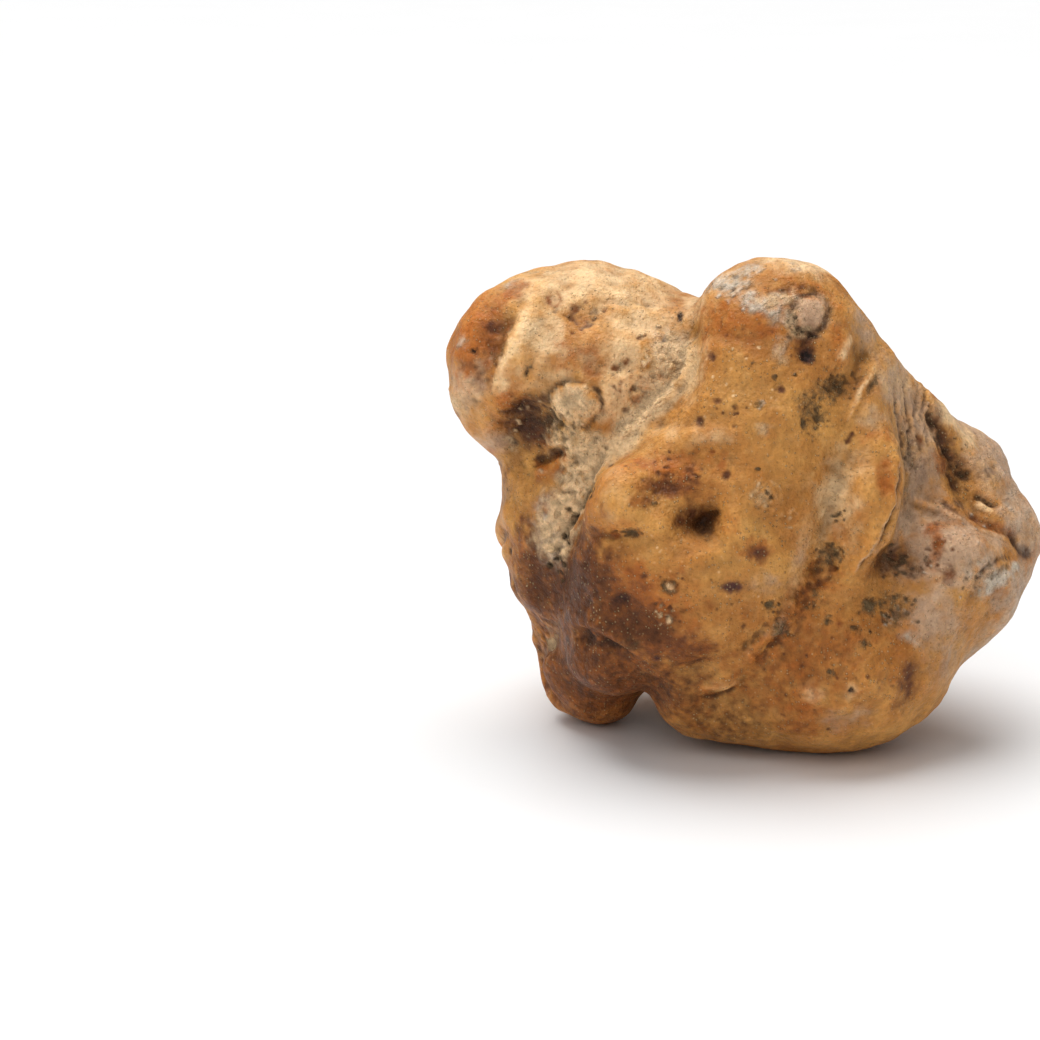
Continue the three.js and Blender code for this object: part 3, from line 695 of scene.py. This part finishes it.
def right_side(spot, line, crumbs):
    """The shoulder on the right, the greyish flank, and the beak where its creases meet."""
    # the shoulder behind, creamy at the top with a red rim
    spot(23, 34, 2.2, 1.3, turn=-35, cream=0.95)
    spot(24.8, 32, 1.6, 1.8, cream=0.8)
    spot(21.4, 36.2, 0.9, 0.4, turn=-20, rust=0.6, flesh=0.6)
    spot(23.8, 35, 1.4, 0.35, turn=-35, rust=0.7)
    spot(27, 28.5, 2.5, 3.5, turn=30, flesh=0.65, cream=0.3)
    crumbs(26, 30, 2, 3, 18, 0.22, sink=0.1, umber=0.6)
    for size in (0.6, 1.2, 1.8):
        curl = [(27.6 - size, 26.2), (27.8 - 0.6 * size, 26.2 + size), (28.4, 26.4 + 1.2 * size)]
        line(curl, 0.35, groove=0.15, umber=0.4)
    spot(29.5, 24.5, 1.5, 2.5, turn=30, flesh=0.5, ash=0.25)
    line([(25.7, 25.6), (26.8, 24.9), (27.8, 24.3), (28.8, 23.7)], 0.4, groove=0.5, spread=0.7, hole=0.6)
    line([(25.8, 24.7), (27, 24), (28.2, 23.2)], 0.4, groove=-0.25, cream=0.6)
    # the creases that run out to the beak
    pale_crease = [(18.6, 25.2), (20.5, 24.4), (22.2, 23.8), (23.6, 23.1), (24.6, 22.4)]
    line(pale_crease, 0.5, groove=-0.35, spread=0.8, cream=0.5, rust=0.4)
    # painted shadow above the pale crease, in umber
    line([(21.6, 24.5), (23.1, 24), (24.4, 23.3)], 0.4, groove=0.3, umber=0.7)
    beak_crease = [(24.6, 23.6), (26.2, 22.6), (27.8, 21.9), (29.4, 21.2), (30.8, 20.2)]
    line(beak_crease, 0.6, groove=0.3, bruise=0.5, rust=0.7)
    line([(26, 21.7), (27.8, 21), (29.4, 20.4)], 0.5, groove=-0.2, flesh=0.7)
    spot(24.3, 24.5, 1, 0.8, umber=0.6)
    # the right flank, pinkish grey
    spot(31, 23, 2.6, 6, turn=18, flesh=0.8, ash=0.3)
    spot(29.5, 29.5, 3, 5, turn=35, flesh=1, rust=-0.8)
    spot(25.5, 34, 4, 1.8, turn=-40, cream=0.6, flesh=0.8)
    spot(30.5, 14, 3, 5, turn=-25, flesh=0.8, ash=0.35)
    spot(27, 8, 3, 4, turn=-40, flesh=0.75, ash=0.25)
    spot(23, 19, 6, 4.5, flesh=0.85)
    spot(18, 22.5, 1.8, 2.4, flesh=0.85)
    spot(21.5, 12, 3.5, 4.5, turn=20, flesh=0.75)
    spot(22.5, 6, 2, 3, turn=-20, flesh=0.4)
    spot(21.3, 21.4, 1.4, 0.7, turn=20, rust=0.6, bruise=0.4)
    spot(21.5, 19.3, 0.7, 1.9, turn=-8, bruise=0.6, rust=0.8)
    spot(22.8, 16.6, 0.9, 1.3, turn=15, sink=0.1, bruise=0.75)
    crumbs(22, 18.5, 1.4, 2.6, 26, 0.24, sink=0.12, bruise=0.8)
    spot(17, 18.2, 2.6, 1.6, turn=10, umber=0.6, bruise=0.5)
    spot(18.8, 16.9, 1.4, 0.9, umber=0.6)
    crumbs(17.4, 17.8, 2.4, 1.6, 30, 0.26, sink=0.12, moss=0.7)
    spot(14.7, 17.3, 1, 1.8, turn=-30, umber=0.4)
    spot(26, 17, 1.8, 1.5, ash=0.4)
    spot(27.3, 17.4, 1.2, 1.4, ash=0.4, moss=0.3)
    crumbs(26.5, 17, 2.4, 2.2, 30, 0.24, sink=0.12, moss=0.6)
    crumbs(24, 18, 4, 4, 30, 0.2, sink=-0.08, ash=0.7)
    # the beak
    spot(31.4, 18.9, 1, 0.8, sink=0.2, umber=0.8, purple=0.4)
    line([(29.4, 20.7), (30.4, 19.9), (31.2, 18.9)], 0.5, groove=0.3, umber=0.8)
    spot(28.6, 15.8, 2.2, 1, turn=38, ash=1)
    spot(30.2, 17.4, 1, 0.5, turn=38, ash=0.9)
    under_beak = [(25.6, 15.2), (27, 16.8), (28.6, 18.2), (30.4, 18.6)]
    line(under_beak, 0.45, groove=0.3, spread=0.9, umber=0.6, purple=0.4)
    line([(27.6, 15.9), (28.6, 16.8), (29.6, 17.8)], 0.4, groove=0.2, moss=0.5)
    spot(28.2, 20, 1.4, 1, flesh=0.8)


FRONT = (
    left_shoulder, cheek, crevice, crown, front_mass, lower_left, belly, fold_and_column, right_side,
)

# ---------- All round: lumps, cavities and the marks of the hidden sides ----------

# Uneven growth, all over: size and height in mm, seed.
LUMPS = ((9, 0.45, 3), (4.5, 0.36, 6), (2.4, 0.21, 4), (1.1, 0.08, 5))
CRUMB_MM = 0.8
CRUMB_HEIGHT = 0.16

# Stains of the hidden sides: layer, size in mm, how common (rarer below 0), seed.
HIDDEN_PATCHES = (
    ("cream", 11, -0.25, 11),
    ("flesh", 9, -0.15, 12),
    ("rust", 7, -0.05, 13),
    ("bruise", 6, -0.3, 16),
    ("umber", 8, -0.35, 14),
    ("ash", 5, -0.6, 15),
)

# Creases of the hidden sides: size of their loops, depth and half width in mm, seed.
HIDDEN_CREASES = ((14, 1.1, 1.6, 31), (8, 0.35, 0.8, 35))
HIDDEN_MARKS = 220


def lumps(skin):
    """Uneven growth at four sizes, and crumbs of earth that stand out a little."""
    for size, height, seed in LUMPS:
        skin.raised += height * skin.noise(size, seed)
    crumbly = np.maximum(skin.layers["soil"], 0.7 * skin.layers["moss"])
    skin.raised += CRUMB_HEIGHT * crumbly * skin.noise(CRUMB_MM, 8)


def hidden_sides(skin, hidden):
    """Stains, pits, scabs and earth on the sides that are turned away, scattered from one seed."""
    for name, size, bias, seed in HIDDEN_PATCHES:
        patch = smooth_step(0, 0.6, skin.noise(size, seed) + 0.3 * skin.noise(0.35 * size, seed) + bias)
        skin.layers[name] = np.maximum(skin.layers[name], 0.7 * hidden * patch)
    skin.raised += hidden * (0.5 * skin.noise(6, 33) + 0.25 * skin.noise(3, 34))
    for size, depth, half_width, seed in HIDDEN_CREASES:
        # creases that wander over the lobes and die out
        along = hidden * smooth_step(0, 0.45, skin.noise(1.3 * size, seed + 1))
        gap = size * np.abs(skin.noise(size, seed) + 0.05 * skin.wobble) / half_width
        skin.raised -= depth * along * np.exp(-(gap**2))
        crease = along * (1 - smooth_step(0, 1.2, gap + 0.3 * skin.wobble))
        for name, strength in (("rust", 0.5), ("bruise", 0.45), ("moss", 0.2)):
            skin.layers[name] = np.maximum(skin.layers[name], strength * crease)
    chance = random.Random(7)
    places = [int(i) for i in np.flatnonzero(hidden > 0.9)]
    for index in chance.sample(places, HIDDEN_MARKS):
        middle = skin.points[index]
        radius = 0.2 + 0.9 * chance.random() ** 2
        mark = chance.choice(("pit", "pit", "dot", "dot", "dot", "stain", "scab", "mould"))
        # a pit is sunk and darkened, with painted shade in its bottom from the hole layer
        if mark == "pit":
            skin.ball(middle, radius, sink=0.5 * radius, umber=0.8, hole=0.35)
        elif mark == "dot":
            skin.ball(middle, 0.5 * radius, sink=0.15, bruise=0.9)
        elif mark == "stain":
            skin.ball(middle, 2.4 * radius, sink=0.1, bruise=0.7, rust=0.6)
        elif mark == "scab":
            skin.ball(middle, radius, sink=-0.2, soil=0.7, ash=0.4)
        else:
            skin.ball(middle, 1.6 * radius, moss=0.65)


def earth_in_folds(skin, hidden, hollow):
    """Earth stays in the valleys of the hidden sides, as it does in the crevice at the front."""
    ragged = hollow + 0.25 * skin.noise(2.5, 21)
    skin.layers["soil"] = np.maximum(skin.layers["soil"], hidden * smooth_step(0.35, 0.9, ragged))


def out_of_sight(skin):
    """1 where a point is turned away from the eye, or lies on the low left flank; 0 on the front."""
    turned_away = 1 - smooth_step(-0.3, 0.02, skin.facing)
    across, up = skin.seen[:, 0], skin.seen[:, 1]
    edge = np.interp(up, (8, 20, 29, 35, 38), (-20.5, -22.5, -24.5, -28.5, -33))
    left_flank = smooth_step(-1, 1.5, edge - across)
    return np.maximum(turned_away, left_flank)


SWELL = 1.3  # every swelling stands out this much more than its row says
GROUNDED_MM = 1.5  # carving fades out this near to the table, so the truffle rests as the solid does

# How a hollow is found: rounds of averaging with the neighbours, and how many mm deep is a full one.
BROAD_ROUNDS = 60
FINE_ROUNDS = 6
FULL_VALLEY = 0.5
FULL_BROAD_HOLLOW = 0.6
FULL_FINE_HOLLOW = 0.1


def make_skin():
    mesh = fine_copy(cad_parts["truffle"])
    skin = Skin(mesh)
    hidden = out_of_sight(skin)
    for across, up, half_across, half_up, turn, height in SWELLINGS:
        skin.spot(across, up, half_across, half_up, turn, sink=-SWELL * height)
    for mark in FRONT:
        mark(skin.spot, skin.line, skin.crumbs)
    hidden_sides(skin, hidden)
    lumps(skin)
    grounded = smooth_step(0, GROUNDED_MM, skin.points[:, 2])
    moved = skin.points + skin.normals * (skin.raised * grounded)[:, None]
    moved[:, 2] = np.maximum(moved[:, 2], 0)
    broad = np.sum((skin.spread(moved, BROAD_ROUNDS) - moved) * skin.normals, axis=1)
    fine = np.sum((skin.spread(moved, FINE_ROUNDS) - moved) * skin.normals, axis=1)
    earth_in_folds(skin, hidden, broad / FULL_VALLEY)
    mesh.vertices.foreach_set("co", (moved * MM).ravel())
    # how hollow each point is: the material darkens hollows with it as painted shade and lightens ridges as
    # painted highlight
    skin.layers["broad_hollow"] = np.clip(broad / FULL_BROAD_HOLLOW, -1, 1)
    skin.layers["fine_hollow"] = np.clip(fine / FULL_FINE_HOLLOW, -1, 1)
    for name, values in skin.layers.items():
        attribute = mesh.attributes.new(name, "FLOAT", "POINT")
        attribute.data.foreach_set("value", values.astype(np.float32))
    mesh.update()
    piece = bpy.data.objects.new("truffle_skin", mesh)
    bpy.context.scene.collection.objects.link(piece)
    return piece


# ---------- Materials ----------


def srgb(code):
    """A colour written as sRGB hex, as linear RGBA."""
    parts = [int(code[i : i + 2], 16) / 255 for i in (1, 3, 5)]
    return (*(p / 12.92 if p <= 0.04045 else ((p + 0.055) / 1.055) ** 2.4 for p in parts), 1)


def add(tree, kind, inputs=(), **settings):
    """Adds a node with its settings, and links or sets its inputs, given in order or by name."""
    made = tree.nodes.new(kind)
    for name, value in settings.items():
        setattr(made, name, value)
    for key, value in inputs.items() if isinstance(inputs, dict) else enumerate(inputs):
        if isinstance(value, bpy.types.NodeSocket):
            tree.links.new(value, made.inputs[key])
        else:
            made.inputs[key].default_value = value
    return made


def per_metre(size_mm):
    """The scale of a pattern whose grains are that size."""
    return 1 / (size_mm * MM)


# The skin's layers, from the lowest: colour, size of the ragged edge in mm, raggedness, how grainy.
STAINS_AND_PAINTED_SHADE = (
    ("cream", "#eec896", 1.8, 0.4, 0),
    ("flesh", "#be9b7c", 1.4, 0.42, 0),
    ("rust", "#ab6023", 1.2, 0.4, 0),
    ("bruise", "#6a3b1c", 0.8, 0.38, 0),
    ("umber", "#4a280f", 0.8, 0.35, 0),
    ("purple", "#522f27", 0.6, 0.35, 0),
    ("ash", "#d4c2ac", 1.0, 0.42, 0.4),
    ("soil", "#e6c193", 0.9, 0.5, 0.5),
    ("moss", "#7c6444", 0.6, 0.5, 0.5),
    # hole: near black, painted shade at the bottoms of pits, holes and slits
    ("hole", "#22130a", 0.4, 0.5, 0),
)

# Noise over the skin: size in mm, detail, seed.
CLOUDS = {
    "broad": (9, 2, 1),
    "patches": (2.6, 4, 2),
    "flecks": (1.1, 4, 3),
    "sandy": (3, 3, 20),
    "waxy": (2, 3, 23),
    "pores": (0.5, 6, 24),
    "crumbs": (0.45, 4, 25),
}
SAND_MM = 0.32  # fine sand, drawn a little coarse so that it shows


def truffle_skin_material():
    """Truffle peridium, grown and brushed: thin, waxy and softly shining, with dry earth in its folds,
    painted shade in its valleys and cracks, and painted highlights on its ridges.
    """
    material = bpy.data.materials.new("truffle_peridium")
    material.use_nodes = True
    tree = material.node_tree
    shader = tree.nodes["Principled BSDF"]
    place = add(tree, "ShaderNodeTexCoord").outputs["Object"]
    clouds = {}
    for name, (size, detail, seed) in CLOUDS.items():
        inputs = {"Vector": place, "W": seed, "Scale": per_metre(size), "Detail": detail}
        clouds[name] = add(tree, "ShaderNodeTexNoise", inputs, noise_dimensions="4D").outputs["Fac"]

    # grains of sand: each cell has its own value, and its middle stands up
    grain = add(tree, "ShaderNodeTexVoronoi", {"Vector": place, "Scale": per_metre(SAND_MM)})
    lot = add(tree, "ShaderNodeSeparateColor", [grain.outputs["Color"]]).outputs[0]
    grain_tint = add(tree, "ShaderNodeMapRange", [lot, 0, 1, 0.62, 1.2]).outputs[0]

    # honey and ochre, mottled at three sizes
    share = add(tree, "ShaderNodeMapRange", [clouds["broad"], 0.35, 0.65, 0, 1]).outputs[0]
    mix = {0: share, 6: srgb("#b47433"), 7: srgb("#d0964e")}
    colour = add(tree, "ShaderNodeMix", mix, data_type="RGBA").outputs[2]
    for cloud, start, end, most, code in (
        ("patches", 0.42, 0.7, 0.5, "#a05f26"),
        ("flecks", 0.5, 0.75, 0.4, "#d6a362"),
    ):
        share = add(tree, "ShaderNodeMapRange", [clouds[cloud], start, end, 0, most]).outputs[0]
        colour = add(tree, "ShaderNodeMix", {0: share, 6: colour, 7: srgb(code)}, data_type="RGBA").outputs[2]

    # painted shade: the skin is darkened in its valleys and cracks, by how hollow it is there
    smooth = "SMOOTHSTEP"
    for name, start, most, code in (
        ("broad_hollow", 0, 0.3, "#54310f"),
        ("fine_hollow", 0.2, 0.5, "#43260f"),
    ):
        depth = add(tree, "ShaderNodeAttribute", attribute_name=name).outputs["Fac"]
        inputs = [depth, start, 1, 0, most]
        share = add(tree, "ShaderNodeMapRange", inputs, interpolation_type=smooth).outputs[0]
        colour = add(tree, "ShaderNodeMix", {0: share, 6: colour, 7: srgb(code)}, data_type="RGBA").outputs[2]

    # the stains and painted shade, each with a ragged, feathered edge
    masks = {}
    for seed, (name, code, size, ragged, grainy) in enumerate(STAINS_AND_PAINTED_SHADE, start=4):
        painted = add(tree, "ShaderNodeAttribute", attribute_name=name).outputs["Fac"]
        inputs = {"Vector": place, "W": seed, "Scale": per_metre(size), "Detail": 4.0}
        noise_at_edge = add(tree, "ShaderNodeTexNoise", inputs, noise_dimensions="4D").outputs["Fac"]
        push = add(tree, "ShaderNodeMapRange", [noise_at_edge, 0.2, 0.8, -ragged, ragged]).outputs[0]
        held = add(tree, "ShaderNodeMapRange", [painted, 0, 0.35, 0, 1]).outputs[0]
        reach = add(tree, "ShaderNodeMath", [push, held, painted], operation="MULTIPLY_ADD").outputs[0]
        inputs = [reach, 0.05, 0.95, 0, 1]
        mask = add(tree, "ShaderNodeMapRange", inputs, interpolation_type=smooth).outputs[0]
        tinted = srgb(code)
        if grainy:
            inputs = {0: grainy, 6: tinted, 7: grain_tint}
            tinted = add(tree, "ShaderNodeMix", inputs, data_type="RGBA", blend_type="MULTIPLY").outputs[2]
        colour = add(tree, "ShaderNodeMix", {0: mask, 6: colour, 7: tinted}, data_type="RGBA").outputs[2]
        masks[name] = mask

    # loose sand: a few pale and a few dark grains, closest together in patches
    sandy = add(tree, "ShaderNodeMapRange", [clouds["sandy"], 0.4, 0.64, 0.3, 1]).outputs[0]
    middle = add(tree, "ShaderNodeMapRange", [grain.outputs["Distance"], 0.42, 0.22, 0, 1]).outputs[0]
    shown = add(tree, "ShaderNodeMath", [sandy, middle], operation="MULTIPLY").outputs[0]
    for start, end, most, code in ((0.76, 0.84, 0.45, "#f0cf9a"), (0.2, 0.14, 0.5, "#6b4118")):
        chosen = add(tree, "ShaderNodeMapRange", [lot, start, end, 0, most]).outputs[0]
        share = add(tree, "ShaderNodeMath", [shown, chosen], operation="MULTIPLY").outputs[0]
        colour = add(tree, "ShaderNodeMix", {0: share, 6: colour, 7: srgb(code)}, data_type="RGBA").outputs[2]

    # darker pores, painted shade in the cracks, and painted highlights on the ridges
    pore_tint = add(tree, "ShaderNodeMapRange", [clouds["pores"], 0.3, 0.7, 0.82, 1.12]).outputs[0]
    crack = add(tree, "ShaderNodeAttribute", attribute_name="fine_hollow").outputs["Fac"]
    crack_shade_and_ridge_highlight = add(tree, "ShaderNodeMapRange", [crack, -0.9, 0.9, 1.25, 0.72]).outputs[0]
    for tint in (pore_tint, crack_shade_and_ridge_highlight):
        inputs = {0: 1.0, 6: colour, 7: tint}
        colour = add(tree, "ShaderNodeMix", inputs, data_type="RGBA", blend_type="MULTIPLY").outputs[2]

    # wax shines a little, and earth and mould are dull
    dusty = add(tree, "ShaderNodeMath", [masks["moss"], masks["ash"]], operation="MAXIMUM").outputs[0]
    earthy = add(tree, "ShaderNodeMath", [masks["soil"], dusty], operation="MAXIMUM").outputs[0]
    waxy = add(tree, "ShaderNodeMapRange", [clouds["waxy"], 0.3, 0.7, 0.42, 0.6]).outputs[0]
    roughness = add(tree, "ShaderNodeMath", [earthy, 0.35, waxy], operation="MULTIPLY_ADD").outputs[0]

    # relief that is too fine to carve: pores, grains of sand, and crumbs in the earth
    sand_height = add(tree, "ShaderNodeMapRange", [lot, 0.8, 0.9, 0, 0.8]).outputs[0]
    sand_height = add(tree, "ShaderNodeMath", [sand_height, shown], operation="MULTIPLY").outputs[0]
    crumb_height = add(tree, "ShaderNodeMath", [clouds["crumbs"], lot]).outputs[0]
    crumb_height = add(tree, "ShaderNodeMath", [crumb_height, earthy], operation="MULTIPLY").outputs[0]
    inputs = [clouds["pores"], 0.9, sand_height]
    height = add(tree, "ShaderNodeMath", inputs, operation="MULTIPLY_ADD").outputs[0]
    height = add(tree, "ShaderNodeMath", [height, crumb_height]).outputs[0]
    bump = add(tree, "ShaderNodeBump", {"Height": height, "Strength": 1.0, "Distance": 0.4 * MM})

    for key, value in (("Base Color", colour), ("Roughness", roughness), ("Normal", bump.outputs["Normal"])):
        tree.links.new(value, shader.inputs[key])
    shader.inputs["IOR"].default_value = 1.45
    shader.inputs["Specular IOR Level"].default_value = 0.25
    shader.inputs["Subsurface Weight"].default_value = 0.06
    shader.inputs["Subsurface Radius"].default_value = (1.0, 0.45, 0.2)
    shader.inputs["Subsurface Scale"].default_value = 0.8 * MM
    return material


def table_material():
    """White laminate, satin: it gives a faint, blurred reflection and a soft shadow."""
    material = bpy.data.materials.new("white_laminate")
    material.use_nodes = True
    tree = material.node_tree
    shader = tree.nodes["Principled BSDF"]
    place = add(tree, "ShaderNodeTexCoord").outputs["Object"]
    inputs = {"Vector": place, "Scale": per_metre(40), "Detail": 2.0}
    cloud = add(tree, "ShaderNodeTexNoise", inputs).outputs["Fac"]
    tint = add(tree, "ShaderNodeMix", {0: cloud, 6: srgb("#f0f0f0"), 7: srgb("#f3f3f3")}, data_type="RGBA")
    tree.links.new(tint.outputs[2], shader.inputs["Base Color"])
    shader.inputs["Roughness"].default_value = 0.4
    return material


# ---------- Stage ----------

TABLE_HALF = 4  # metres, so that its edge is out of sight


def make_table():
    shape = bmesh.new()
    bmesh.ops.create_grid(shape, x_segments=1, y_segments=1, size=TABLE_HALF)
    mesh = bpy.data.meshes.new("table")
    shape.to_mesh(mesh)
    shape.free()
    table = bpy.data.objects.new("table", mesh)
    mesh.materials.append(table_material())
    bpy.context.scene.collection.objects.link(table)


# Name, strength, how wide the light is seen in degrees, and the way it shines.
SOFTBOXES = (
    ("overhead_softbox", 3.1, 55, (0.14, -0.26, -1)),
    ("front_left_softbox", 0.95, 60, (0.4, 0.75, -0.9)),
)
ROOM_STRENGTH = 0.22  # of the white walls, which fill the shadows


def light_the_room():
    world = bpy.data.worlds.new("white_room")
    world.use_nodes = True
    background = world.node_tree.nodes["Background"]
    background.inputs["Color"].default_value = srgb("#ffffff")
    background.inputs["Strength"].default_value = ROOM_STRENGTH
    bpy.context.scene.world = world
    for name, energy, spread, heading in SOFTBOXES:
        light = bpy.data.lights.new(name, "SUN")
        light.energy = energy
        light.angle = math.radians(spread)
        lamp = bpy.data.objects.new(name, light)
        lamp.rotation_euler = Vector(heading).to_track_quat("-Z", "Y").to_euler()
        bpy.context.scene.collection.objects.link(lamp)
    bpy.context.scene.view_settings.view_transform = "Standard"


truffle = make_skin()
truffle.data.materials.append(truffle_skin_material())
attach(truffle, "root")
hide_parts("truffle")
make_table()
light_the_room()
